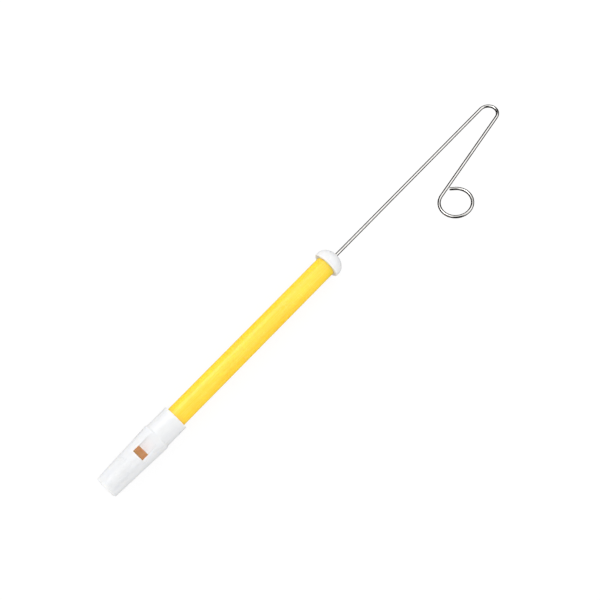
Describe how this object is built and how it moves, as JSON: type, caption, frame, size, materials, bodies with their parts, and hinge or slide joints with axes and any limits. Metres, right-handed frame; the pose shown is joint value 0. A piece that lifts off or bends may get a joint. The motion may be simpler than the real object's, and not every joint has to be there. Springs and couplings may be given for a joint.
{
  "type": "slide whistle",
  "caption": "Slide whistle: yellow plastic tube, white fipple mouthpiece and domed end cap, and a bent wire slide with a finger ring that moves a felt piston.",
  "frame": {"origin": "on the tube's axis in the plane of the mouth end", "axes": "+X along the tube from the mouth end to the end cap, +Z out of the window side, and the finger ring on the -Y side, its plane raised 25 degrees towards +Z; the slide stands fully out"},
  "size_m": [0.4119, 0.0598, 0.0345],
  "materials": {
    "mouthpiece_plastic": "glossy white moulded plastic",
    "block_plastic": "satin white moulded plastic",
    "tube_plastic": "glossy yellow extruded plastic",
    "cap_plastic": "glossy white moulded plastic",
    "wire_plating": "bright nickel-plated steel wire",
    "washer_steel": "stamped steel",
    "piston_felt": "dense wool felt",
    "collar_brass": "plain crimped brass"
  },
  "bodies": {
    "whistle_body": {"mouthpiece_body": "mouthpiece_plastic", "windway_block": "block_plastic", "barrel_tube": "tube_plastic", "end_cap": "cap_plastic"},
    "piston": {"front_washer": "washer_steel", "felt_packing": "piston_felt", "rear_washer": "washer_steel"},
    "slide": {"slide_wire": "wire_plating", "crimp_collar": "collar_brass"}
  },
  "joints": [
    {"name": "slide_travel", "type": "slide", "parent": "whistle_body", "child": "piston", "axis": [-1, 0, 0], "range_m": [0, 0.166]},
    {"name": "wire_spin", "type": "hinge", "parent": "piston", "child": "slide", "pos_m": [0.223, 0, 0], "axis": [1, 0, 0], "continuous": true}
  ]
}
